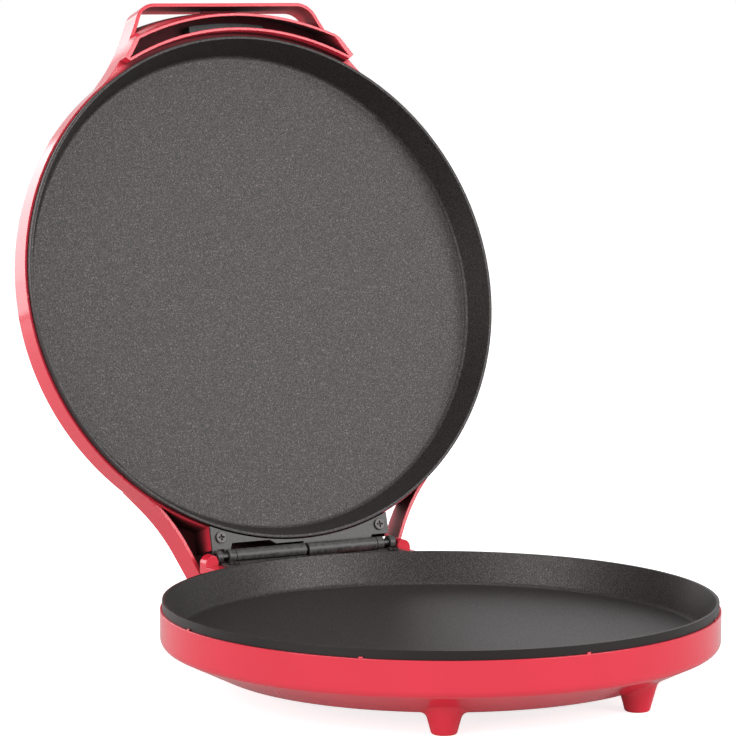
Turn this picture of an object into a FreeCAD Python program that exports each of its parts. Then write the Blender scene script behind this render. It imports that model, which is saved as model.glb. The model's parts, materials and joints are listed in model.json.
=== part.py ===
import FreeCAD, Part

import math
import os

V = FreeCAD.Vector
UP = V(0, 0, 1)

# Electric pizza maker with its lid open, in millimetres.
# The origin lies on the table under the middle of the open machine, +Z is up, the front is -Y.
# Pieces are drawn about the pan axis with z from the table and the lid closed,
# then the lid turns about the hinge pin and everything moves back by ORIGIN_Y.
ORIGIN_Y = 65.7
OPEN_ANGLE = 106.2

# Pans
RIM_R = 160.0
RIM_Z = 51.5
RIM_GAP = 5.0
RIM_WIDTH = 1.7
BAND = 5.25
PAN_DEPTH = 19.5
FLOOR_R = 151.5
PAN_T = 2.6
SPIGOT_R = 157.9
SPIGOT_DEPTH = 9.0
BOSS_RING_R = 118.0
BOSS_R = 4.5
BOSS_DEPTH = 30.0

# Moulded housings
SHELL_R = 161.2
SHELL_T = 2.5
CREASE_DEPTH = 24.8
FLAT_R = 128.5
SHELL_DEPTH = 40.4
HOOKS = 8

# Feet: x, y and the height up to which each cone reaches into the housing
FRONT_FOOT = (62.0, -113.0, 19.0)
REAR_FOOT = (58.0, 138.0, 12.1)
FOOT_TIP_R = 7.0
FOOT_TAPER = 0.273
FOOT_ROOT_R = 4.0

# Hinge: the pin lies midway between the two rims, behind the pans
HINGE_Y = 168.4
HINGE_Z = RIM_Z + RIM_GAP / 2
SHEET = 1.6
ROLL_R = 4.3
ROLL_BORE = 2.7
PIN_R = 2.62
LEAF_HALF = 61.3
LEAF_SCREW = (55.2, 156.1)
LEAF_EDGE_R = 160.9
LONG_ROLL = (1.0, 48.7)
KNUCKLE = (49.2, 61.7)
KNUCKLE_SLOT = (53.6, 58.2)

# Neck of the base housing that carries the hinge
NECK_HALF = 71.0
NECK_BACK = 171.0
EAR = (62.4, 71.0)

# Lid front: a skirt round the pan, a channel, its flared outer wall and the grip on two arms
LID_RIM_Z = RIM_Z + RIM_GAP
LID_EDGE_Z = LID_RIM_Z + BAND
LIP_T = 2.2
SKIRT_R = (163.0, 164.8)
SKIRT_DROP = 3.5
BULGE_R = (172.3, 174.1)
BULGE_FLARE = 7.2
BULGE_CORNER_R = 12.0
CHANNEL_END = ((70.0, -138.3), (85.0, -150.1))
CHANNEL_END_T = 3.0
BAND_TOP_Z = LID_RIM_Z + 22.3
ARM_START = (103.0, -121.0)
ARM_BEND = (74.3, -151.2)
GRIP = (59.4, -184.0)
GRIP_Z = (LID_RIM_Z + 9.0, LID_RIM_Z + 27.4)
GRIP_TIE = 12.0

# Lid rear: two arms that flank the hinge, their end wall, and the web that closes them behind
REAR_START = (104.3, 120.9)
REAR_BEND = (82.8, 145.2)
REAR_WALL = (65.7, 183.5)
REAR_LIP_Z = LID_RIM_Z + 8.6
WEB_Z = (LID_RIM_Z + 25.0, LID_RIM_Z + 27.5)
WEB_GAP = (63.7, 141.0, 165.0)
HINGE_RIB = (59.0, 61.3, 163.4)

# Heating and wiring
COIL_R = 95.0
COIL_HALF = 3.2
COIL_END = 75.0
COIL_BEND_R = 12.0
LEG_END = 119.4
TERMINAL_END = 127.4
SHIELD_T = 0.8
SHIELD_NOTCH = 24.0
INLET_Z = 25.0
WIRE_R = 1.2
FUSE_Y = 96.0
BLOCK = (12.0, 42.0, 96.0, 110.0, 6.4)
BLOCK_WAYS = (17.0, 27.0, 37.0)
LAMP_X = 15.0
CARRIER_HALF = 26.0
LID_LEADS_Z = 83.5
LID_ENTRY_Z = 80.2


def bent(points, closed):
    """Wire through (point, radius) corners; each corner is rounded by an arc of its radius."""
    stops = []
    count = len(points)
    for i, (corner, radius) in enumerate(points):
        if radius == 0 or (not closed and i in (0, count - 1)):
            stops.append((corner, None, corner))
            continue
        back = points[i - 1][0] - corner
        ahead = points[(i + 1) % count][0] - corner
        back.normalize()
        ahead.normalize()
        half = back.getAngle(ahead) / 2
        reach = radius / math.tan(half)
        inward = back + ahead
        inward.normalize()
        centre = corner + inward * (radius / math.sin(half))
        stops.append((corner + back * reach, centre - inward * radius, corner + ahead * reach))
    edges = []
    for i, (start, middle, end) in enumerate(stops):
        if middle is not None:
            edges.append(Part.Arc(start, middle, end).toShape())
        if not closed and i == count - 1:
            break
        following = stops[(i + 1) % count][0]
        if (following - end).Length > 1e-4:
            edges.append(Part.LineSegment(end, following).toShape())
    return Part.Wire(edges)


def corners(outline, place):
    """Outline entries are (u, v) or (u, v, radius); place turns u, v into a point in space."""
    return [(place(entry[0], entry[1]), entry[2] if len(entry) > 2 else 0) for entry in outline]


def plan_face(outline, z):
    """Level face from a plan outline."""
    return Part.Face(bent(corners(outline, lambda u, v: V(u, v, z)), True))


def prism(outline, z0, z1):
    """Upright solid with a plan outline."""
    return plan_face(outline, z0).extrude(V(0, 0, z1 - z0))


def cross_bar(outline, x0, x1):
    """Solid with a side outline in y, z that runs from x0 to x1."""
    face = Part.Face(bent(corners(outline, lambda u, v: V(x0, u, v)), True))
    return face.extrude(V(x1 - x0, 0, 0))


def long_bar(outline, y0, y1):
    """Solid with a front outline in x, z that runs from y0 to y1."""
    face = Part.Face(bent(corners(outline, lambda u, v: V(u, y0, v)), True))
    return face.extrude(V(0, y1 - y0, 0))


def turned(outline, angle=360.0):
    """Solid of revolution about the pan axis from a half section in r, z."""
    face = Part.Face(bent(corners(outline, lambda u, v: V(u, 0, v)), True))
    return face.revolve(V(0, 0, 0), UP, angle)


def rod(radius, z0, z1, x=0.0, y=0.0):
    """Upright cylinder."""
    return Part.makeCylinder(radius, z1 - z0, V(x, y, z0))


def level_rod(radius, start, run):
    """Cylinder from a start point along a vector."""
    return Part.makeCylinder(radius, run.Length, start, run)


def box(x0, x1, y0, y1, z0, z1):
    """Block between two corners."""
    return Part.makeBox(x1 - x0, y1 - y0, z1 - z0, V(x0, y0, z0))


def joined(shapes):
    """One solid from touching shapes."""
    return shapes[0].fuse(shapes[1:]).removeSplitter()


def mirrored(shape):
    """The same shape on the other side of the middle plane."""
    return shape.mirror(V(0, 0, 0), V(1, 0, 0))


def flipped(shape):
    """The same shape in the closed lid: mirrored in the level plane of the hinge pin."""
    return shape.mirror(V(0, 0, HINGE_Z), UP)


def around(shape, count, first=0.0):
    """Copies of a shape set evenly round the pan axis."""
    copies = []
    for i in range(count):
        copy = shape.copy()
        copy.rotate(V(0, 0, 0), UP, first + i * 360.0 / count)
        copies.append(copy)
    return copies


def pan():
    """Cast pan: flat floor, sloping wall, flat rim band, locating spigot and four screw bosses."""
    slope = (RIM_R - RIM_WIDTH - FLOOR_R) / PAN_DEPTH
    under = PAN_DEPTH + PAN_T
    foot_r = SPIGOT_R - slope * (under - SPIGOT_DEPTH)
    dish = turned([
        (0, RIM_Z - PAN_DEPTH),
        (FLOOR_R, RIM_Z - PAN_DEPTH, 3.0),
        (RIM_R - RIM_WIDTH, RIM_Z),
        (RIM_R, RIM_Z),
        (RIM_R, RIM_Z - BAND),
        (SPIGOT_R, RIM_Z - BAND),
        (SPIGOT_R, RIM_Z - SPIGOT_DEPTH),
        (foot_r, RIM_Z - under, 5.0),
        (0, RIM_Z - under),
    ])
    boss = rod(BOSS_R, RIM_Z - BOSS_DEPTH, RIM_Z - under, BOSS_RING_R)
    hole = rod(1.5, RIM_Z - BOSS_DEPTH, RIM_Z - under - 0.5, BOSS_RING_R)
    return joined([dish] + around(boss.cut(hole), 4, 45))


def skin(inset=0.0):
    """Half section of a housing's outer skin from the crease to the axis, drawn inset from the real one."""
    return [
        (SHELL_R - inset, RIM_Z - CREASE_DEPTH, 5.0),
        (FLAT_R - inset, RIM_Z - SHELL_DEPTH + inset, 14.0),
        (0, RIM_Z - SHELL_DEPTH + inset),
    ]


def filled_shell(inset=0.0):
    """Everything inside the skin of a round housing, up to just over the rim plane."""
    return turned([(0, RIM_Z + 1), (SHELL_R - inset, RIM_Z + 1)] + skin(inset))


def round_shell():
    """Round half of a housing: upright band, crease, sloping underside and snap hooks on the edge."""
    inner = [
        (0, RIM_Z - SHELL_DEPTH + SHELL_T),
        (FLAT_R - 0.6, RIM_Z - SHELL_DEPTH + SHELL_T, 12.0),
        (SHELL_R - SHELL_T, RIM_Z - CREASE_DEPTH + 1.6, 3.5),
        (SHELL_R - SHELL_T, RIM_Z - BAND),
    ]
    shell = turned([(SHELL_R, RIM_Z - BAND)] + skin() + inner)
    hook = box(RIM_R + 0.15, SHELL_R - 0.4, -1.2, 1.2, RIM_Z - BAND - 1.0, RIM_Z - BAND + 1.0)
    return joined([shell] + around(hook, HOOKS))


def foot(x, y, top):
    """Moulded conical foot with a rounded tip, ended inside the housing's wall."""
    cone = Part.makeCone(FOOT_TIP_R, FOOT_TIP_R + FOOT_TAPER * top, top, V(x, y, 0))
    tip = [edge for edge in cone.Edges if abs(edge.BoundBox.ZMax) < 0.01]
    return cone.makeFillet(1.4, tip).cut(filled_shell(SHELL_T / 2))


def foot_core(x, y, top):
    """Hollow of a foot, open to the inside of the housing."""
    radius = FOOT_TIP_R - 2.4
    return Part.makeCone(radius, radius + FOOT_TAPER * top, top, V(x, y, 2.6))


def at_foot_root(edge):
    """True for an edge where a front foot runs into the sloping underside."""
    x, y, top = FRONT_FOOT
    middle = edge.valueAt((edge.FirstParameter + edge.LastParameter) / 2)
    reach = math.hypot(abs(middle.x) - x, middle.y - y)
    return FOOT_TIP_R + 2.7 < reach < FOOT_TIP_R + 6 and RIM_Z - SHELL_DEPTH - 1 < middle.z < top


def neck():
    """Box behind the bowl that carries the hinge: seat, roll trough, ears, rounded rear wall."""
    seat = HINGE_Z - ROLL_R
    trough = seat - 2.2
    low = RIM_Z - SHELL_DEPTH
    outline = [(-NECK_HALF, 90), (NECK_HALF, 90), (NECK_HALF, NECK_BACK, 6), (-NECK_HALF, NECK_BACK, 6)]
    side = [(90, low), (150, low + 1.0, 20), (NECK_BACK, low + 5.4, 6), (NECK_BACK, trough, 0.8)]
    side += [(163.8, trough), (163.8, seat), (90, seat)]
    body = cross_bar(side, -NECK_HALF, NECK_HALF).common(prism(outline, 0, RIM_Z))
    inner = [(90, low + SHELL_T), (149.8, low + 3.5, 18), (NECK_BACK - SHELL_T, low + 6.6, 2)]
    inner += [(NECK_BACK - SHELL_T, trough - SHELL_T), (90, trough - SHELL_T)]
    hollow = cross_bar(inner, SHELL_T - NECK_HALF, NECK_HALF - SHELL_T)
    return body.cut(hollow).cut(filled_shell())


def ear():
    """Cheek at one end of the hinge pin, rounded over its outer shoulder."""
    x0, x1 = EAR
    top = HINGE_Z + 2.3
    base = HINGE_Z - ROLL_R - 5.0
    outline = [(x0, base), (x0, top - 4.0, 1.0), (x0 + 1.8, top, 2.0), (x1, top, 5.5), (x1, base)]
    return long_bar(outline, 162.6, NECK_BACK)


def base_housing():
    """Lower housing: bowl, hinge neck, ears, four feet, screw wells and the cord inlet."""
    low = RIM_Z - SHELL_DEPTH
    floor = low + SHELL_T
    seat = HINGE_Z - ROLL_R
    places = [(x * side, y, top) for x, y, top in (FRONT_FOOT, REAR_FOOT) for side in (-1, 1)]
    feet = [foot(*place) for place in places]
    cores = [foot_core(*place) for place in places]
    well = rod(5.2, low, RIM_Z - BOSS_DEPTH - SHIELD_T, BOSS_RING_R)
    pillar = rod(4.6, seat - 15.0, seat - 3.0, *LEAF_SCREW)
    solid = joined([round_shell(), neck(), ear(), mirrored(ear())] + feet + around(well, 4, 45))
    solid = solid.fuse([pillar, mirrored(pillar)])
    passage = box(-46, 46, 134, 163, floor + 1.0, seat - 12.0)
    head_well = rod(3.7, low - 1, floor + 2.0, BOSS_RING_R)
    shank_hole = rod(1.9, low, RIM_Z - BOSS_DEPTH, BOSS_RING_R)
    leaf_hole = rod(1.5, seat - 13.0, seat + 1, *LEAF_SCREW)
    inlet = level_rod(5.0, V(0, NECK_BACK - 5, INLET_Z), V(0, 10, 0))
    tools = cores + [passage, leaf_hole, mirrored(leaf_hole), inlet]
    tools += around(head_well, 4, 45) + around(shank_hole, 4, 45)
    body = solid.cut(tools).removeSplitter()
    return body.makeFillet(FOOT_ROOT_R, [edge for edge in body.Edges if at_foot_root(edge)])


def both_sides(half):
    """Closed plan outline from its right half, which runs away from the pan towards the middle plane."""
    return half + [(-entry[0],) + entry[1:] for entry in reversed(half)]


def grip_outline():
    """Plan of the lid's front: arms that bend away from the round shell and the straight grip."""
    return both_sides([(60, -40), ARM_START, ARM_BEND + (140,), GRIP + (14,)])


def rear_outline():
    """Plan of the lid's rear: arms that flank the hinge and the wall that joins them."""
    return both_sides([(60, 40), REAR_START, REAR_BEND + (115,), REAR_WALL + (9,)])


def inside(outline, wall, z0, z1):
    """Upright solid that keeps a wall's thickness inside a plan outline."""
    return plan_face(outline, z0).makeOffset2D(-wall).extrude(V(0, 0, z1 - z0))


def lip(outline, side):
    """Upright wall along a plan outline, trimmed to a side outline and ended in the skin of the lid."""
    z0 = LID_EDGE_Z - 1
    z1 = WEB_Z[1] + 1
    wall = prism(outline, z0, z1).cut(inside(outline, LIP_T, z0, z1))
    return wall.common(cross_bar(side, -110, 110)).cut(flipped(filled_shell(0.6)))


def flared(radius, z0, z1):
    """Cone that widens from the rim side of the channel towards its top."""
    slope = BULGE_FLARE / (BAND_TOP_Z - LID_RIM_Z + SKIRT_DROP)
    return Part.makeCone(radius, radius + slope * (z1 - z0), z1 - z0, V(0, 0, z0))


def front_block():
    """Channel on the lid's front between the skirt round the pan and the flared outer wall."""
    z0 = LID_RIM_Z - SKIRT_DROP
    top = BAND_TOP_Z
    filled = prism(grip_outline(), z0, top).common(flared(BULGE_R[1], z0, top))
    shoulders = [edge for edge in filled.Edges if edge.BoundBox.ZLength > 20 and edge.BoundBox.YMin < -150]
    filled = filled.makeFillet(BULGE_CORNER_R, shoulders)
    channel = inside(grip_outline(), CHANNEL_END_T, z0, top).common(flared(BULGE_R[0], z0, top - SHELL_T))
    channel = channel.cut(rod(SKIRT_R[1], z0, top))
    block = filled.cut([channel, rod(SKIRT_R[0], z0, LID_EDGE_Z), rod(SHELL_R - 0.6, z0, top)])
    skirt_ends = both_sides([*CHANNEL_END, (CHANNEL_END[1][0], GRIP[1])])
    beyond_ends = box(-110, 110, GRIP[1], 0, z0, LID_EDGE_Z).cut(prism(skirt_ends, z0, LID_EDGE_Z))
    block = block.cut(beyond_ends)
    tie = box(-GRIP_TIE, GRIP_TIE, GRIP[1] + 1, GRIP[1] + 4, top - SHELL_T, top)
    return block.fuse(tie)


def neck_web():
    """Plate across the back of the lid's neck, with the gap beside the hinge leaf."""
    z0, z1 = WEB_Z
    x0, y0, y1 = WEB_GAP
    gap = inside(rear_outline(), LIP_T, z0 - 1, z1 + 1).common(box(x0, NECK_HALF + 20, y0, y1, z0 - 1, z1 + 1))
    return prism(rear_outline(), z0, z1).cut(gap).cut(flipped(filled_shell(0.6)))


def leaf_bed():
    """What the lid leaf is screwed to at one end: a round boss and a rib that stand on the web."""
    x0, x1, y1 = HINGE_RIB
    seat = HINGE_Z + ROLL_R
    top = WEB_Z[0] + 1
    bed = rod(4.8, seat, top, *LEAF_SCREW).fuse(box(x0, x1, 140, y1, seat, top))
    return bed.cut([rod(RIM_R + 0.6, seat, LID_EDGE_Z), rod(SHELL_R - 0.6, LID_EDGE_Z, top)])


def lid_housing():
    """Upper housing: flipped bowl, grip, front channel, hinge arms and the beds of the hinge screws."""
    front_side = [(-100, LID_EDGE_Z), (-120, LID_EDGE_Z), (GRIP[1] - 1, GRIP_Z[0]), (GRIP[1] - 1, GRIP_Z[1]),
                  (-120, BAND_TOP_Z), (-100, BAND_TOP_Z)]
    rear_side = [(100, LID_EDGE_Z), (122, LID_EDGE_Z), (REAR_WALL[1] + 1, REAR_LIP_Z),
                 (REAR_WALL[1] + 1, WEB_Z[1]), (100, WEB_Z[1])]
    parts = [flipped(round_shell()), lip(grip_outline(), front_side), lip(rear_outline(), rear_side),
             front_block(), neck_web(), leaf_bed(), mirrored(leaf_bed())]
    seat = HINGE_Z + ROLL_R
    leaf_hole = rod(1.5, seat - 1, seat + 13.0, *LEAF_SCREW)
    lens_hole = rod(3.6, BAND_TOP_Z - 4, BAND_TOP_Z + 1, LAMP_X, lamp_y())
    hinge_leads = box(-11.6, 11.6, 150, 165, LID_ENTRY_Z - 1.5, LID_ENTRY_Z + 1.2)
    lamp_leads = box(-3.2, 3.2, -166, -157, LID_LEADS_Z - 11.0, LID_LEADS_Z - 5.0)
    holes = [leaf_hole, mirrored(leaf_hole), lens_hole, mirrored(lens_hole)]
    return joined(parts).cut(holes + [hinge_leads, lamp_leads])


def lamp_y():
    """Depth of the two lamps: on the middle line of the front channel."""
    middle = (SKIRT_R[1] + BULGE_R[0]) / 2
    return -math.sqrt(middle ** 2 - LAMP_X ** 2)


def rolled(x0, x1):
    """Stretch of the rolled knuckle of the lid leaf, with the seam left by the sheet's end."""
    start = V(x0, HINGE_Y, HINGE_Z)
    run = V(x1 - x0, 0, 0)
    tube = level_rod(ROLL_R, start, run).cut(level_rod(ROLL_BORE, start, run))
    seam = box(x0, x1, HINGE_Y - ROLL_R - 1, HINGE_Y - 1.5, HINGE_Z + 1.9, HINGE_Z + ROLL_R - SHEET)
    return tube.cut(seam)


def hinge_leaf():
    """Stamped lid leaf: follows the pan rim, one long roll and one slotted end knuckle."""
    top = HINGE_Z + ROLL_R
    low = top - SHEET
    long0, long1 = LONG_ROLL
    knuckle0, knuckle1 = KNUCKLE
    outline = [(-LEAF_HALF, 140), (LEAF_HALF, 140), (LEAF_HALF, 162.2, 1.5), (long1, 162.2, 1.0),
               (long1, HINGE_Y), (long0, HINGE_Y), (long0, 162.6), (-18, 162.6), (-22, 160.1),
               (-48.0, 160.1, 1.0),
               (-knuckle0, 163.4), (-knuckle0, HINGE_Y), (-knuckle1, HINGE_Y), (-LEAF_HALF - 0.4, 160)]
    plate = prism(outline, low, top).cut(rod(LEAF_EDGE_R, low - 1, top + 1))
    leaf = joined([plate, rolled(long0, long1), rolled(-knuckle1, -knuckle0)])
    slot0, slot1 = KNUCKLE_SLOT
    slot = box(-slot1, -slot0, 163.4, HINGE_Y + 6, HINGE_Z - 6, top + 1)
    hole = rod(1.8, low - 1, top + 1, *LEAF_SCREW)
    bore = level_rod(ROLL_BORE, V(-70, HINGE_Y, HINGE_Z), V(140, 0, 0))
    leaf = leaf.cut([slot, hole, mirrored(hole), bore])
    slant = long_bar([(long0 - 1, HINGE_Z - 9), (long0 + 3.2, HINGE_Z - 9), (long0 - 1, HINGE_Z + 1.5)],
                     150, HINGE_Y + 9)
    slant.rotate(V(0, HINGE_Y, HINGE_Z), V(1, 0, 0), OPEN_ANGLE)
    return leaf.cut(slant)


def base_leaf():
    """The lid leaf's twin, turned half round the line through the middle of the pin."""
    leaf = hinge_leaf()
    leaf.rotate(V(0, 0, HINGE_Z), V(0, 1, 0), 180)
    return leaf


def hinge_pin():
    """Plain steel pin through both leaves, held endways between the ears."""
    half = KNUCKLE[1] + 0.3
    return level_rod(PIN_R, V(-half, HINGE_Y, HINGE_Z), V(2 * half, 0, 0))


def leaf_screw(side):
    """Pan-head cross-recess screw of the lid leaf, head downwards."""
    x, y = LEAF_SCREW
    under = HINGE_Z + ROLL_R - SHEET
    head = rod(3.4, under - 1.4, under, x * side, y)
    shank = rod(1.45, under, under + 13.0, x * side, y)
    slot = box(x * side - 2.0, x * side + 2.0, y - 0.45, y + 0.45, under - 1.5, under - 0.6)
    cross = slot.copy()
    cross.rotate(V(x * side, y, 0), UP, 90)
    return joined([head, shank]).cut([slot, cross])


def leg_x():
    """Distance of the heating rod's legs from the middle plane."""
    return (COIL_R + COIL_BEND_R) * math.cos(math.radians(COIL_END)) - COIL_BEND_R


def heating_element():
    """Sheathed heating rod, pressed flat on the pan, bent to a ring with two legs to the rear."""
    top = RIM_Z - PAN_DEPTH - PAN_T
    half = COIL_HALF
    edges = [Part.LineSegment(V(COIL_R - half, 0, top), V(COIL_R + half, 0, top)).toShape(),
             Part.LineSegment(V(COIL_R + half, 0, top), V(COIL_R + half, 0, top - half)).toShape(),
             Part.Arc(V(COIL_R + half, 0, top - half), V(COIL_R, 0, top - 2 * half),
                      V(COIL_R - half, 0, top - half)).toShape(),
             Part.LineSegment(V(COIL_R - half, 0, top - half), V(COIL_R - half, 0, top)).toShape()]
    section = Part.Face(Part.Wire(edges))
    section.rotate(V(0, 0, 0), UP, -90)
    ring = section.revolve(V(0, 0, 0), UP, 90 + COIL_END)
    section.rotate(V(0, 0, 0), UP, 90 + COIL_END)
    heading = math.radians(COIL_END)
    pivot = V((COIL_R + COIL_BEND_R) * math.cos(heading), (COIL_R + COIL_BEND_R) * math.sin(heading), 0)
    bend = section.revolve(pivot, UP, -COIL_END)
    section.rotate(pivot, UP, -COIL_END)
    leg = section.extrude(V(0, LEG_END - pivot.y, 0))
    terminal = level_rod(1.6, V(leg_x(), LEG_END, top - half), V(0, TERMINAL_END - LEG_END, 0))
    arm = joined([ring, bend, leg, terminal])
    return joined([arm, mirrored(arm)])


def element_clips():
    """Four sheet-steel straps that press the heating rod onto the pan."""
    top = RIM_Z - PAN_DEPTH - PAN_T
    half = COIL_HALF + 0.1
    low = top - 2 * COIL_HALF - 0.1
    outline = [(COIL_R - 11, top), (COIL_R - half, top), (COIL_R - half, low, 3.0),
               (COIL_R + half, low, 3.0), (COIL_R + half, top), (COIL_R + 11, top),
               (COIL_R + 11, top - 1), (COIL_R + half + 1, top - 1), (COIL_R + half + 1, low - 1, 4.0),
               (COIL_R - half - 1, low - 1, 4.0), (COIL_R - half - 1, top - 1), (COIL_R - 11, top - 1)]
    strap = turned(outline, 7.0)
    return Part.makeCompound(around(strap, 4, 41.5 - 45.0))


def heat_shield():
    """Thin aluminium dish under the element: turned-up edge, thermostat hole, notch for the terminals."""
    top = RIM_Z - BOSS_DEPTH
    edge = top + 6.9
    outline = [(13.5, top), (124.5, top, 4), (138, edge, 3), (147, edge), (147, edge - SHIELD_T),
               (138.4, edge - SHIELD_T, 3.8), (124.9, top - SHIELD_T, 4.8), (13.5, top - SHIELD_T)]
    hole = rod(2.0, top - 2, top + 1, BOSS_RING_R)
    notch = box(-SHIELD_NOTCH, SHIELD_NOTCH, 113, 150, top - 2, edge + 1)
    return turned(outline).cut(around(hole, 4, 45) + [notch])


def pan_screws(length, seat_drop):
    """Four screws into the bosses of a pan, their heads seat_drop below the boss faces."""
    top = RIM_Z - BOSS_DEPTH + 5.0
    head_top = RIM_Z - BOSS_DEPTH - seat_drop
    screw = joined([rod(1.45, head_top, top, BOSS_RING_R), rod(3.2, head_top - length, head_top, BOSS_RING_R)])
    return Part.makeCompound(around(screw, 4, 45))


def thermostat():
    """Snap-disc thermostat on the middle of the pan's underside, with two push-on tabs."""
    top = RIM_Z - PAN_DEPTH - PAN_T
    tab = box(4.0, 4.8, -3.1, 3.1, top - 13.5, top - 9)
    return joined([rod(11.0, top - 1.2, top), rod(8.0, top - 9.0, top), tab, mirrored(tab)])


def thermal_fuse():
    """Thermal cut-off in its sleeve, lying against the shield in front of the element's legs."""
    z = RIM_Z - BOSS_DEPTH - SHIELD_T - 2.4
    sleeve = level_rod(2.4, V(-48, FUSE_Y, z), V(24, 0, 0))
    wire = level_rod(0.8, V(-54, FUSE_Y, z), V(36, 0, 0))
    return joined([sleeve, wire])


def terminal_block():
    """Three-way screw connector on the housing floor, with a screw well at each end of a way."""
    x0, x1, y0, y1, height = BLOCK
    z0 = RIM_Z - SHELL_DEPTH + SHELL_T
    block = box(x0, x1, y0, y1, z0, z0 + height)
    return block.cut([rod(1.6, z0 + 3.2, z0 + 7, x, y) for x in BLOCK_WAYS for y in (y0 + 3.5, y1 - 3.5)])


def lead(points):
    """Insulated wire along a route of (x, y, z, bend radius) points."""
    route = [(V(x, y, z), bend) for x, y, z, bend in points]
    start = route[0][0]
    ring = Part.Wire(Part.Circle(start, route[1][0] - start, WIRE_R).toShape())
    return bent(route, False).makePipeShell([ring], True, False)


def base_wiring():
    """Leads from the cord inlet to the terminal block, and on to thermostat, fuse and element."""
    floor = RIM_Z - SHELL_DEPTH + SHELL_T + 1.3
    fuse_z = RIM_Z - BOSS_DEPTH - SHIELD_T - 2.4
    rod_z = RIM_Z - PAN_DEPTH - PAN_T - COIL_HALF - 1.65
    front, back = BLOCK[2] - 0.1, BLOCK[3] + 0.1
    tab_x, tab_y, tab_z = 4.4, 3.2, floor + 2
    live, neutral, spare = BLOCK_WAYS
    x = leg_x()
    routes = [
        [(-1.7, 168, INLET_Z, 0), (-1.7, 150, INLET_Z, 9), (live, 126, floor + 1, 9), (live, back, floor + 1, 0)],
        [(1.7, 168, INLET_Z, 0), (1.7, 150, INLET_Z, 9), (neutral, 126, floor + 1, 9),
         (neutral, back, floor + 1, 0)],
        [(neutral, front, floor, 0), (neutral, 60, floor, 12), (tab_x, 30, tab_z, 12), (tab_x, tab_y, tab_z, 0)],
        [(-tab_x, tab_y, tab_z, 0), (-tab_x, 34, tab_z, 12), (-64, 62, floor, 12), (-64, FUSE_Y, fuse_z, 4),
         (-54.2, FUSE_Y, fuse_z, 0)],
        [(-17.8, FUSE_Y, fuse_z, 0), (-6, FUSE_Y, fuse_z, 4), (-6, 124, fuse_z, 4), (-x, 124, fuse_z, 3),
         (-x, 124, rod_z, 0)],
        [(spare, back, floor + 1, 0), (spare, 121, floor + 1, 5), (x, 121, floor + 1, 5), (x, 121, rod_z, 0)],
    ]
    return Part.makeCompound([lead(route) for route in routes])


def cord_grommet():
    """Rubber grommet in the cord inlet of the rear wall."""
    wall = NECK_BACK - SHELL_T
    parts = [level_rod(6.6, V(0, NECK_BACK, INLET_Z), V(0, 2.0, 0)),
             level_rod(5.0, V(0, wall, INLET_Z), V(0, SHELL_T, 0)),
             level_rod(5.2, V(0, wall - 1.2, INLET_Z), V(0, 1.2, 0))]
    bore = level_rod(3.4, V(0, wall - 5, INLET_Z), V(0, 12, 0))
    return joined(parts).cut(bore)


def lamp_lens(side):
    """Domed lens of an indicator lamp in the top of the front channel."""
    x = LAMP_X * side
    cap = rod(4.8, BAND_TOP_Z, BAND_TOP_Z + 1.3, x, lamp_y())
    rim = [edge for edge in cap.Edges if edge.BoundBox.ZMin > BAND_TOP_Z + 1.2]
    stem = rod(3.5, BAND_TOP_Z - SHELL_T, BAND_TOP_Z, x, lamp_y())
    return joined([cap.makeFillet(0.9, rim), stem])


def indicator_lamp(side):
    """Small neon lamp in a sleeve under a lens."""
    top = BAND_TOP_Z - SHELL_T
    return rod(2.4, top - 6.0, top, LAMP_X * side, lamp_y())


def lamp_carrier():
    """Strip in the front channel that holds both lamps, on a leg at each end."""
    top = BAND_TOP_Z - SHELL_T
    half = CARRIER_HALF
    block = box(-half, half, -180, -150, top - 7.2, top)
    strip = block.cut(box(4 - half, half - 4, -180, -150, top - 6.0, top))
    return strip.common(rod(BULGE_R[0] - 0.5, top - 8, top)).cut(rod(SKIRT_R[1] + 0.5, top - 8, top + 1))


def lid_wiring():
    """Leads that enter the lid behind the hinge: two to the element's legs and two to the lamps."""
    z = LID_LEADS_Z
    entry = LID_ENTRY_Z
    x = leg_x()
    rod_z = LID_RIM_Z + PAN_DEPTH + PAN_T + COIL_HALF
    lamp_z = z - 9.0
    y = lamp_y() + 0.2
    wires = []
    for side in (-1, 1):
        wires.append(lead([(6 * side, 157, entry, 0), (6 * side, 146, entry, 9), (x * side, 136, rod_z, 9),
                           (x * side, TERMINAL_END + 0.1, rod_z, 0)]))
        wires.append(lead([(9.6 * side, 157, entry, 0), (9.6 * side, 141, entry, 9), (9.6 * side, 123, z + 8, 9),
                           (9.6 * side, 0, z + 8, 9), (1.5 * side, -40, z + 8, 9), (1.5 * side, -118, z + 8, 9),
                           (1.5 * side, -148, z - 0.7, 9), (1.5 * side, -156.4, z - 7.0, 3),
                           (1.5 * side, y, lamp_z, 3), ((LAMP_X - 2.5) * side, y, lamp_z, 0)]))
    return Part.makeCompound(wires)


def opened(shape):
    """A lid piece turned from closed to its open rest about the hinge pin."""
    shape.rotate(V(0, HINGE_Y, HINGE_Z), V(1, 0, 0), -OPEN_ANGLE)
    return shape


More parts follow.
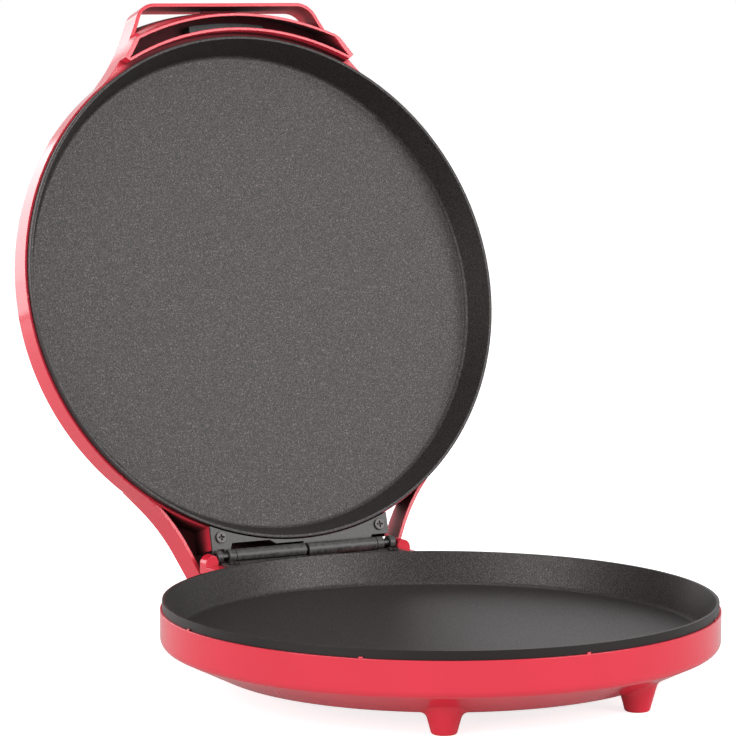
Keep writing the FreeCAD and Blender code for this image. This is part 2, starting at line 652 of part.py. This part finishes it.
screws_deep = SHELL_DEPTH - SHELL_T - BOSS_DEPTH
base_parts = {
    "base_housing": base_housing(),
    "lower_pan": pan(),
    "lower_heating_element": heating_element(),
    "lower_element_clips": element_clips(),
    "lower_heat_shield": heat_shield(),
    "lower_pan_screws": pan_screws(2.0, screws_deep - 2.0),
    "thermostat": thermostat(),
    "thermal_fuse": thermal_fuse(),
    "terminal_block": terminal_block(),
    "base_wiring": base_wiring(),
    "cord_grommet": cord_grommet(),
    "base_hinge_leaf": base_leaf(),
    "hinge_pin": hinge_pin(),
    "base_leaf_screws": flipped(Part.makeCompound([leaf_screw(-1), leaf_screw(1)])),
}
lid_parts = {
    "lid_housing": lid_housing(),
    "upper_pan": flipped(pan()),
    "upper_heating_element": flipped(heating_element()),
    "upper_element_clips": flipped(element_clips()),
    "upper_heat_shield": flipped(heat_shield()),
    "upper_shield_screws": flipped(pan_screws(1.8, SHIELD_T)),
    "lid_hinge_leaf": hinge_leaf(),
    "lid_leaf_screws": Part.makeCompound([leaf_screw(-1), leaf_screw(1)]),
    "power_lamp_lens": lamp_lens(-1),
    "ready_lamp_lens": lamp_lens(1),
    "power_lamp": indicator_lamp(-1),
    "ready_lamp": indicator_lamp(1),
    "lamp_carrier": lamp_carrier(),
    "lid_wiring": lid_wiring(),
}

os.makedirs("parts", exist_ok=True)
for name, shape in {**base_parts, **{key: opened(piece) for key, piece in lid_parts.items()}}.items():
    shape.translate(V(0, -ORIGIN_Y, 0))
    bounds = shape.BoundBox
    print(f"{name:24s} solids {len(shape.Solids)} valid {shape.isValid()} volume {shape.Volume / 1000:9.2f} cm3"
          f"  y {bounds.YMin:7.1f} {bounds.YMax:7.1f}  z {bounds.ZMin:6.1f} {bounds.ZMax:6.1f}")
    shape.exportStep(f"parts/{name}.step")
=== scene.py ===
import bpy
import json
import math
from mathutils import Matrix, Vector


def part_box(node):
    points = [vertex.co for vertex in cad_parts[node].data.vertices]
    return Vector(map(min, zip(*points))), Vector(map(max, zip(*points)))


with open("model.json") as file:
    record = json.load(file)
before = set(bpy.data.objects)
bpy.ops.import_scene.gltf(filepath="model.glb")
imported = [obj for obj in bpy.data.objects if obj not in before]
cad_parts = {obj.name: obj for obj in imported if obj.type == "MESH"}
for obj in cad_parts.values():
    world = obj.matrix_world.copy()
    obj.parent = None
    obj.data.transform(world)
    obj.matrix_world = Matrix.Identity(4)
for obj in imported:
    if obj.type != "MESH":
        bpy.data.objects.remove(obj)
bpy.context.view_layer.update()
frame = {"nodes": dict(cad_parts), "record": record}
nodes = frame["nodes"]


# Both housings are injection moulded in a glossy red plastic, each in one shot with its
# hinge neck or its grip. The polished mould leaves a mirror-like skin with a faint waviness,
# and every edge has a small radius.
MOULDED_RED = (0.79, 0.026, 0.056, 1)
MOULDED_RED_DEEP = (0.74, 0.023, 0.050, 1)
# Painted shade: the near-black red laid into the housing where walls stand close, as in the hinge neck and the grip's
# channel.
MOULDED_RED_PAINTED_SHADE = (0.022, 0.002, 0.003, 1)


def new_group(name, inputs, outputs):
    """An empty shader node group with named sockets."""
    group = bpy.data.node_groups.new(name, "ShaderNodeTree")
    for label, kind, value in inputs:
        socket = group.interface.new_socket(label, in_out="INPUT", socket_type=kind)
        if value is not None:
            socket.default_value = value
    for label, kind in outputs:
        group.interface.new_socket(label, in_out="OUTPUT", socket_type=kind)
    return group, group.nodes.new("NodeGroupInput"), group.nodes.new("NodeGroupOutput")


def mottle_group():
    """Patches over the surface: a colour between two tones, a roughness and a height."""
    group, given, result = new_group(
        "mottle",
        [("Vector", "NodeSocketVector", None), ("Stretch", "NodeSocketVector", (1, 1, 1)),
         ("Scale", "NodeSocketFloat", 50), ("Detail", "NodeSocketFloat", 3),
         ("Contrast", "NodeSocketFloat", 2.5), ("Dark", "NodeSocketColor", None),
         ("Light", "NodeSocketColor", None), ("Smooth", "NodeSocketFloat", 0.3),
         ("Rough", "NodeSocketFloat", 0.5)],
        [("Color", "NodeSocketColor"), ("Roughness", "NodeSocketFloat"), ("Height", "NodeSocketFloat")])
    make, link = group.nodes.new, group.links.new
    stretched = make("ShaderNodeVectorMath")
    stretched.operation = "MULTIPLY"
    link(given.outputs["Vector"], stretched.inputs[0])
    link(given.outputs["Stretch"], stretched.inputs[1])
    noise = make("ShaderNodeTexNoise")
    link(stretched.outputs["Vector"], noise.inputs["Vector"])
    link(given.outputs["Scale"], noise.inputs["Scale"])
    link(given.outputs["Detail"], noise.inputs["Detail"])
    centred = make("ShaderNodeMath")
    centred.operation = "SUBTRACT"
    centred.inputs[1].default_value = 0.5
    link(noise.outputs["Fac"], centred.inputs[0])
    patches = make("ShaderNodeMath")
    patches.operation = "MULTIPLY_ADD"
    patches.use_clamp = True
    patches.inputs[2].default_value = 0.5
    link(centred.outputs["Value"], patches.inputs[0])
    link(given.outputs["Contrast"], patches.inputs[1])
    tone = make("ShaderNodeMix")
    tone.data_type = "RGBA"
    link(patches.outputs["Value"], tone.inputs["Factor"])
    link(given.outputs["Dark"], tone.inputs["A"])
    link(given.outputs["Light"], tone.inputs["B"])
    polish = make("ShaderNodeMix")
    link(patches.outputs["Value"], polish.inputs["Factor"])
    link(given.outputs["Smooth"], polish.inputs["A"])
    link(given.outputs["Rough"], polish.inputs["B"])
    link(tone.outputs["Result"], result.inputs["Color"])
    link(polish.outputs["Result"], result.inputs["Roughness"])
    link(patches.outputs["Value"], result.inputs["Height"])
    return group


def relief_group():
    """Surface normal of a piece with rounded edges and a fine relief on its faces."""
    group, given, result = new_group(
        "relief",
        [("Height", "NodeSocketFloat", 0), ("Distance", "NodeSocketFloat", 0.00005),
         ("Edge Radius", "NodeSocketFloat", 0.0005)],
        [("Normal", "NodeSocketVector")])
    edge = group.nodes.new("ShaderNodeBevel")
    edge.samples = 6
    bump = group.nodes.new("ShaderNodeBump")
    group.links.new(given.outputs["Edge Radius"], edge.inputs["Radius"])
    group.links.new(given.outputs["Height"], bump.inputs["Height"])
    group.links.new(given.outputs["Distance"], bump.inputs["Distance"])
    group.links.new(edge.outputs["Normal"], bump.inputs["Normal"])
    group.links.new(bump.outputs["Normal"], result.inputs["Normal"])
    return group


def make_painted_shade_group():
    """Painted shade: darker towards a shade colour, and duller, where walls stand close around the surface."""
    group, given, result = new_group(
        "painted_shade_group",
        [("Color", "NodeSocketColor", None), ("Painted Shade Color", "NodeSocketColor", None),
         ("Roughness", "NodeSocketFloat", 0.3), ("Deep Roughness", "NodeSocketFloat", 0.6),
         ("Distance", "NodeSocketFloat", 0.03), ("Closed", "NodeSocketFloat", 0.2),
         ("Open", "NodeSocketFloat", 0.7)],
        [("Color", "NodeSocketColor"), ("Roughness", "NodeSocketFloat")])
    around = group.nodes.new("ShaderNodeAmbientOcclusion")
    around.samples = 8
    openness = group.nodes.new("ShaderNodeMapRange")
    openness.interpolation_type = "SMOOTHSTEP"
    tone = group.nodes.new("ShaderNodeMix")
    tone.data_type = "RGBA"
    sheltered = group.nodes.new("ShaderNodeMapRange")
    sheltered.inputs["From Min"].default_value = 0.35
    sheltered.inputs["From Max"].default_value = 0.85
    polish = group.nodes.new("ShaderNodeMix")
    link = group.links.new
    link(given.outputs["Distance"], around.inputs["Distance"])
    link(around.outputs["AO"], openness.inputs["Value"])
    link(around.outputs["AO"], sheltered.inputs["Value"])
    link(given.outputs["Closed"], openness.inputs["From Min"])
    link(given.outputs["Open"], openness.inputs["From Max"])
    link(openness.outputs["Result"], tone.inputs["Factor"])
    link(given.outputs["Painted Shade Color"], tone.inputs["A"])
    link(given.outputs["Color"], tone.inputs["B"])
    link(sheltered.outputs["Result"], polish.inputs["Factor"])
    link(given.outputs["Deep Roughness"], polish.inputs["A"])
    link(given.outputs["Roughness"], polish.inputs["B"])
    link(tone.outputs["Result"], result.inputs["Color"])
    link(polish.outputs["Result"], result.inputs["Roughness"])
    return group


mottle = mottle_group()
relief = relief_group()
painted_shade_group = make_painted_shade_group()


def finish(name, dark, light, smooth, rough, scale, detail=3.0, contrast=2.5, stretch=(1, 1, 1),
           relief_depth=0.00005, edge_radius=0.0004):
    """A mottled material on a piece's own coordinates; patches per metre, depths in metres."""
    material = bpy.data.materials.new(name)
    material.use_nodes = True
    tree = material.node_tree
    shader = tree.nodes["Principled BSDF"]
    place = tree.nodes.new("ShaderNodeTexCoord")
    patches = tree.nodes.new("ShaderNodeGroup")
    patches.node_tree = mottle
    for label, value in (("Stretch", stretch), ("Scale", scale), ("Detail", detail), ("Contrast", contrast),
                         ("Dark", dark), ("Light", light), ("Smooth", smooth), ("Rough", rough)):
        patches.inputs[label].default_value = value
    surface = tree.nodes.new("ShaderNodeGroup")
    surface.node_tree = relief
    surface.inputs["Distance"].default_value = relief_depth
    surface.inputs["Edge Radius"].default_value = edge_radius
    tree.links.new(place.outputs["Object"], patches.inputs["Vector"])
    tree.links.new(patches.outputs["Color"], shader.inputs["Base Color"])
    tree.links.new(patches.outputs["Roughness"], shader.inputs["Roughness"])
    tree.links.new(patches.outputs["Height"], surface.inputs["Height"])
    tree.links.new(surface.outputs["Normal"], shader.inputs["Normal"])
    return material, tree, shader, patches


def paint_crevice_shade(tree, shader, shade_color, deep_rough, distance, closed, opened):
    """Puts the painted shade group in front of a material's colour and roughness."""
    shade = tree.nodes.new("ShaderNodeGroup")
    shade.node_tree = painted_shade_group
    for label, value in (("Painted Shade Color", shade_color), ("Deep Roughness", deep_rough), ("Distance", distance),
                         ("Closed", closed), ("Open", opened)):
        shade.inputs[label].default_value = value
    for label, end in (("Color", "Base Color"), ("Roughness", "Roughness")):
        tree.links.new(shader.inputs[end].links[0].from_socket, shade.inputs[label])
        tree.links.new(shade.outputs[label], shader.inputs[end])


def coat(material, *names):
    """Gives CAD nodes their finish."""
    for name in names:
        mesh = nodes[name].data
        mesh.materials.clear()
        mesh.materials.append(material)


red_gloss, tree, shader, patches = finish("moulded_red_gloss", MOULDED_RED_DEEP, MOULDED_RED, 0.10, 0.17,
                                          scale=22, relief_depth=0.00003, edge_radius=0.0007)
shader.inputs["IOR"].default_value = 1.56
# Painted shade: the red darkens to near-black where walls stand close around it, inside the hinge neck and the grip's
# channel.
paint_crevice_shade(tree, shader, MOULDED_RED_PAINTED_SHADE, 0.75, 0.08, 0.06, 0.60)
coat(red_gloss, "base_housing", "lid_housing")


# Both pans are die-cast aluminium, turned on the rim. The inside is sprayed with a black
# non-stick coating in which fine pale flakes float, so it sparkles under a lamp, and the
# sprayed film is slightly pebbled. The outer band is plain black.
COATING_BLACK = (0.0070, 0.0058, 0.0060, 1)
COATING_GREY = (0.0140, 0.0118, 0.0118, 1)
FLAKE = (0.120, 0.104, 0.102, 1)

BAND_BLACK = (0.0090, 0.0062, 0.0058, 1)
BAND_STARTS = 0.1592
BAND_FULL = 0.1596

hinge = frame["record"]["behaviour"]["joints"][0]
hinge_line = Vector(hinge["pos_m"])
closing = Matrix.Rotation(math.radians(hinge["range_deg"][1]), 3, "X")
pan_middle = Vector([(low + high) / 2 for low, high in zip(*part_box("lower_pan"))])
pan_middle.z = 0
for pan, turn_back, shift in (("lower_pan", Matrix.Identity(3), -pan_middle),
                              ("upper_pan", closing, hinge_line - closing @ hinge_line - pan_middle)):
    coating, tree, shader, patches = finish(pan + "_non_stick", COATING_BLACK, COATING_GREY, 0.36, 0.50,
                                            scale=900, detail=3.0, contrast=2.0, relief_depth=0.00004,
                                            edge_radius=0.0004)
    shader.inputs["IOR"].default_value = 1.40
    place = patches.inputs["Vector"].links[0].from_socket
    flakes = tree.nodes.new("ShaderNodeTexNoise")
    flakes.inputs["Scale"].default_value = 1300
    flakes.inputs["Detail"].default_value = 2
    specks = tree.nodes.new("ShaderNodeMapRange")
    specks.inputs["From Min"].default_value = 0.40
    specks.inputs["From Max"].default_value = 0.80
    level_pan = tree.nodes.new("ShaderNodeMapping")
    level_pan.inputs["Location"].default_value = shift
    level_pan.inputs["Rotation"].default_value = turn_back.to_euler()
    flat = tree.nodes.new("ShaderNodeVectorMath")
    flat.operation = "MULTIPLY"
    flat.inputs[1].default_value = (1, 1, 0)
    radius = tree.nodes.new("ShaderNodeVectorMath")
    radius.operation = "LENGTH"
    inside = tree.nodes.new("ShaderNodeMapRange")
    for label, value in (("From Min", BAND_STARTS), ("From Max", BAND_FULL), ("To Min", 1), ("To Max", 0)):
        inside.inputs[label].default_value = value
    glint = tree.nodes.new("ShaderNodeMath")
    glint.operation = "MULTIPLY"
    speckled = tree.nodes.new("ShaderNodeMix")
    speckled.data_type = "RGBA"
    speckled.inputs["B"].default_value = FLAKE
    banded = tree.nodes.new("ShaderNodeMix")
    banded.data_type = "RGBA"
    banded.inputs["A"].default_value = BAND_BLACK
    for start, end in ((place, flakes.inputs["Vector"]), (flakes.outputs["Fac"], specks.inputs["Value"]),
                       (place, level_pan.inputs["Vector"]), (level_pan.outputs["Vector"], flat.inputs[0]),
                       (flat.outputs["Vector"], radius.inputs[0]), (radius.outputs["Value"], inside.inputs["Value"]),
                       (specks.outputs["Result"], glint.inputs[0]), (inside.outputs["Result"], glint.inputs[1]),
                       (glint.outputs["Value"], speckled.inputs["Factor"]),
                       (patches.outputs["Color"], speckled.inputs["A"]),
                       (speckled.outputs["Result"], banded.inputs["B"]),
                       (inside.outputs["Result"], banded.inputs["Factor"]),
                       (banded.outputs["Result"], shader.inputs["Base Color"]),
                       (glint.outputs["Value"], shader.inputs["Metallic"])):
        tree.links.new(start, end)
    coat(coating, pan)


# The hinge is two stamped steel leaves with rolled knuckles, in a satin black electro-coat
# that is slightly mottled. Each leaf is held by two black oxide pan-head screws.
LEAF_BLACK = (0.024, 0.022, 0.022, 1)
LEAF_SCUFFED = (0.085, 0.078, 0.075, 1)
# Painted shade: the near-black of the leaves in narrow gaps, such as the ring around each screw head.
LEAF_PAINTED_SHADE = (0.004, 0.004, 0.004, 1)
SCREW_BLACK = (0.045, 0.042, 0.041, 1)
SCREW_WORN = (0.095, 0.088, 0.086, 1)
# Painted shade: the near-black of the screws in their cross recess.
SCREW_PAINTED_SHADE = (0.003, 0.003, 0.003, 1)

leaf_coat, tree, shader, patches = finish("satin_black_coat", LEAF_BLACK, LEAF_SCUFFED, 0.34, 0.48,
                                          scale=420, detail=4.0, relief_depth=0.00008, edge_radius=0.0003)
# Painted shade: the leaves darken to near-black in narrow gaps, such as around each screw head.
paint_crevice_shade(tree, shader, LEAF_PAINTED_SHADE, 0.60, 0.003, 0.10, 0.75)
coat(leaf_coat, "base_hinge_leaf", "lid_hinge_leaf")
black_oxide, tree, shader, patches = finish("black_oxide_steel", SCREW_BLACK, SCREW_WORN, 0.28, 0.44,
                                            scale=900, contrast=4.0, edge_radius=0.00025)
shader.inputs["Metallic"].default_value = 1.0
# Painted shade: the screws darken to near-black in their cross recess.
paint_crevice_shade(tree, shader, SCREW_PAINTED_SHADE, 0.60, 0.002, 0.35, 0.85)
coat(black_oxide, "base_leaf_screws", "lid_leaf_screws")


# The hinge pin is a piece of drawn steel wire, blackened like the leaves, with fine lengthwise
# draw marks and a film of grease. Only its ends and the gaps between the knuckles show.
PIN_BLACK = (0.020, 0.020, 0.021, 1)
PIN_RUBBED = (0.085, 0.083, 0.081, 1)

drawn_wire, tree, shader, patches = finish("blackened_wire", PIN_BLACK, PIN_RUBBED, 0.30, 0.46, scale=900,
                                           stretch=(0.05, 1, 1), relief_depth=0.00002)
shader.inputs["Metallic"].default_value = 1.0
coat(drawn_wire, "hinge_pin")


# Under each pan lies a tubular heating rod of stainless steel, blued and browned by its own
# heat, with straps of zinc plated sheet that press it on.
SHEATH_BROWN = (0.12, 0.085, 0.06, 1)
SHEATH_BLUED = (0.26, 0.25, 0.27, 1)
ZINC_DULL = (0.46, 0.46, 0.45, 1)
ZINC_BRIGHT = (0.66, 0.66, 0.65, 1)

sheath, tree, shader, patches = finish("heat_tinted_sheath", SHEATH_BROWN, SHEATH_BLUED, 0.32, 0.50, scale=38,
                                       detail=5.0)
shader.inputs["Metallic"].default_value = 1.0
coat(sheath, "lower_heating_element", "upper_heating_element")
zinc, tree, shader, patches = finish("zinc_plate", ZINC_DULL, ZINC_BRIGHT, 0.24, 0.42, scale=260, detail=4.0,
                                     edge_radius=0.0002)
shader.inputs["Metallic"].default_value = 1.0
coat(zinc, "lower_element_clips", "upper_element_clips", "lower_pan_screws", "upper_shield_screws")


# A shield of plain rolled aluminium sheet closes the space behind each heating rod. The
# rolling leaves long fine lines, and the heat a straw tint in the middle.
SHEET_GREY = (0.62, 0.62, 0.62, 1)
SHEET_STRAW = (0.76, 0.74, 0.70, 1)

rolled_sheet, tree, shader, patches = finish("rolled_aluminium", SHEET_GREY, SHEET_STRAW, 0.26, 0.40, scale=240,
                                             stretch=(1, 0.04, 1), relief_depth=0.00002, edge_radius=0.0003)
shader.inputs["Metallic"].default_value = 1.0
coat(rolled_sheet, "lower_heat_shield", "upper_heat_shield")


# The lower pan carries a snap-disc thermostat in a brown-black phenolic case, and a thermal
# cut-off in a woven glass sleeve lies on the shield.
PHENOLIC = (0.030, 0.022, 0.018, 1)
PHENOLIC_DUSTY = (0.075, 0.062, 0.052, 1)
GLASS_SLEEVE = (0.66, 0.63, 0.56, 1)
GLASS_SLEEVE_PALE = (0.84, 0.82, 0.76, 1)

phenolic, tree, shader, patches = finish("moulded_phenolic", PHENOLIC, PHENOLIC_DUSTY, 0.38, 0.60, scale=500)
coat(phenolic, "thermostat")
sleeve, tree, shader, patches = finish("woven_glass_sleeve", GLASS_SLEEVE, GLASS_SLEEVE_PALE, 0.65, 0.85,
                                       scale=1400, contrast=4.0, stretch=(1, 0.6, 0.6), relief_depth=0.0002)
coat(sleeve, "thermal_fuse")


# The mains leads meet in a three-way connector of natural polyamide. All leads have a
# silicone skin, slightly chalky from talc, and enter through a black rubber grommet.
POLYAMIDE = (0.76, 0.74, 0.66, 1)
POLYAMIDE_PALE = (0.86, 0.85, 0.79, 1)
SILICONE = (0.62, 0.62, 0.60, 1)
SILICONE_CHALKY = (0.78, 0.78, 0.76, 1)
RUBBER = (0.012, 0.012, 0.012, 1)
RUBBER_BLOOM = (0.035, 0.035, 0.036, 1)

polyamide, tree, shader, patches = finish("natural_polyamide", POLYAMIDE, POLYAMIDE_PALE, 0.40, 0.55, scale=160)
coat(polyamide, "terminal_block")
silicone, tree, shader, patches = finish("silicone_insulation", SILICONE, SILICONE_CHALKY, 0.45, 0.62, scale=320)
coat(silicone, "base_wiring", "lid_wiring")
rubber, tree, shader, patches = finish("moulded_rubber", RUBBER, RUBBER_BLOOM, 0.55, 0.75, scale=420,
                                       relief_depth=0.0001)
coat(rubber, "cord_grommet")


# Two neon lamps sit in the channel of the lid, in a dark grey moulded carrier. Each one shines
# through a domed lens of tinted polycarbonate, red for power and green for ready.
CARRIER_GREY = (0.050, 0.050, 0.052, 1)
CARRIER_PALE = (0.085, 0.085, 0.088, 1)
LAMP_AMBER = (0.80, 0.62, 0.46, 1)
LAMP_CLEAR = (0.92, 0.88, 0.82, 1)

carrier, tree, shader, patches = finish("grey_carrier", CARRIER_GREY, CARRIER_PALE, 0.42, 0.58, scale=300)
coat(carrier, "lamp_carrier")
bulb, tree, shader, patches = finish("lamp_glass", LAMP_AMBER, LAMP_CLEAR, 0.04, 0.10, scale=200, relief_depth=0.00001)
shader.inputs["Transmission Weight"].default_value = 0.85
coat(bulb, "power_lamp", "ready_lamp")
for name, dark, light in (("power_lamp_lens", (0.42, 0.004, 0.006, 1), (0.60, 0.010, 0.012, 1)),
                          ("ready_lamp_lens", (0.008, 0.26, 0.045, 1), (0.016, 0.40, 0.075, 1))):
    lens, tree, shader, patches = finish(name, dark, light, 0.05, 0.12, scale=240, relief_depth=0.00002,
                                         edge_radius=0.0003)
    shader.inputs["IOR"].default_value = 1.58
    shader.inputs["Transmission Weight"].default_value = 0.5
    coat(lens, name)


# The machine stands on a plain pale floor in front of an evenly white wall. The camera and the
# gloss of the object see both as white paper, and near the object the floor keeps its shadow.
FLOOR_HALF = 6.0
FLOOR_PALE = (0.76, 0.76, 0.76, 1)
FLOOR_LIFT_NEAR = 0.80
FLOOR_LIFT_FAR = 1.0
LIFT_STARTS = 0.30
LIFT_ENDS = 1.0
SURROUND = 0.34
FLOOR_IN_GLOSS = 0.08
WALL_IN_GLOSS = 0.7


def seen_as_white(tree, in_gloss):
    """How white the background is for a ray: one from the camera or glass, less off gloss."""
    rays = tree.nodes.new("ShaderNodeLightPath")
    mirrored = tree.nodes.new("ShaderNodeMath")
    mirrored.operation = "MULTIPLY"
    mirrored.inputs[1].default_value = in_gloss
    tree.links.new(rays.outputs["Is Glossy Ray"], mirrored.inputs[0])
    total = rays.outputs["Is Camera Ray"]
    for other in (mirrored.outputs["Value"], rays.outputs["Is Transmission Ray"]):
        join = tree.nodes.new("ShaderNodeMath")
        join.operation = "MAXIMUM"
        tree.links.new(total, join.inputs[0])
        tree.links.new(other, join.inputs[1])
        total = join.outputs["Value"]
    return total


bpy.ops.object.select_all(action="DESELECT")
bpy.ops.mesh.primitive_plane_add(size=2 * FLOOR_HALF)
floor = bpy.context.object
floor.name = "studio_floor"
paper = bpy.data.materials.new("pale_floor")
paper.use_nodes = True
tree = paper.node_tree
shader = tree.nodes["Principled BSDF"]
shader.inputs["Base Color"].default_value = FLOOR_PALE
shader.inputs["Roughness"].default_value = 0.9
shader.inputs["Specular IOR Level"].default_value = 0.0
spot = tree.nodes.new("ShaderNodeTexCoord")
reach = tree.nodes.new("ShaderNodeVectorMath")
reach.operation = "LENGTH"
rise = tree.nodes.new("ShaderNodeMapRange")
rise.interpolation_type = "SMOOTHSTEP"
for label, value in (("From Min", LIFT_STARTS), ("From Max", LIFT_ENDS),
                     ("To Min", FLOOR_LIFT_NEAR), ("To Max", FLOOR_LIFT_FAR)):
    rise.inputs[label].default_value = value
lift = tree.nodes.new("ShaderNodeMath")
lift.operation = "MULTIPLY"
tree.links.new(spot.outputs["Object"], reach.inputs[0])
tree.links.new(reach.outputs["Value"], rise.inputs["Value"])
tree.links.new(rise.outputs["Result"], lift.inputs[0])
tree.links.new(seen_as_white(tree, FLOOR_IN_GLOSS), lift.inputs[1])
shader.inputs["Emission Color"].default_value = (1, 1, 1, 1)
tree.links.new(lift.outputs["Value"], shader.inputs["Emission Strength"])
floor.data.materials.append(paper)
# The floor casts no shadow, so it stays out of the ambient occlusion behind the painted shade.
floor.visible_shadow = False

scene = bpy.context.scene
world = bpy.data.worlds.new("white_studio")
world.use_nodes = True
scene.world = world
tree = world.node_tree
background = tree.nodes["Background"]
background.inputs["Color"].default_value = (1, 1, 1, 1)
level = tree.nodes.new("ShaderNodeMapRange")
level.inputs["To Min"].default_value = SURROUND
level.inputs["To Max"].default_value = 1.0
tree.links.new(seen_as_white(tree, WALL_IN_GLOSS), level.inputs["Value"])
tree.links.new(level.outputs["Result"], background.inputs["Strength"])


def softbox(name, place, aim, width, height, level):
    """A rectangular studio lamp that faces a point; its level is relative to white paper."""
    lamp = bpy.data.lights.new(name, "AREA")
    lamp.shape = "RECTANGLE"
    lamp.size = width
    lamp.size_y = height
    lamp.energy = level * math.pi * width * height
    box = bpy.data.objects.new(name, lamp)
    scene.collection.objects.link(box)
    box.location = place
    box.rotation_euler = (Vector(aim) - Vector(place)).to_track_quat("-Z", "Y").to_euler()
    box.visible_camera = False


softbox("front_right", (1.06, -1.75, 1.05), (0, 0, 0.2), 1.6, 1.4, 4.5)
softbox("left", (-1.9, -0.6, 0.75), (0, 0, 0.15), 1.5, 1.3, 3.8)
softbox("back_left", (-0.55, 1.25, 0.47), (-0.15, 0, 0.25), 1.1, 0.9, 2.3)
softbox("top", (0.1, 0.2, 2.2), (0, 0, 0.1), 1.4, 1.4, 1.0)


# The camera stands in front of the machine, to its left and a little above it.
AIM = Vector((-0.0119, 0.0, 0.1781))
AZIMUTH = -28.54
ELEVATION = 6.508
ROLL = -0.082
DISTANCE = 2.0184
LENS = 168.33

turn = math.radians(AZIMUTH)
rise = math.radians(ELEVATION)
back = Vector((math.sin(turn) * math.cos(rise), -math.cos(turn) * math.cos(rise), math.sin(rise)))
camera = bpy.data.cameras.new("product_camera")
camera.lens = LENS
camera.sensor_width = 36
camera.clip_start = 0.1
camera.clip_end = 60
stand = bpy.data.objects.new("product_camera", camera)
scene.collection.objects.link(stand)
stand.location = AIM + back * DISTANCE
level_view = (-back).to_track_quat("-Z", "Y")
stand.rotation_mode = "QUATERNION"
stand.rotation_quaternion = level_view @ Matrix.Rotation(math.radians(-ROLL), 3, "Z").to_quaternion()
scene.camera = stand
scene.view_settings.view_transform = "Standard"
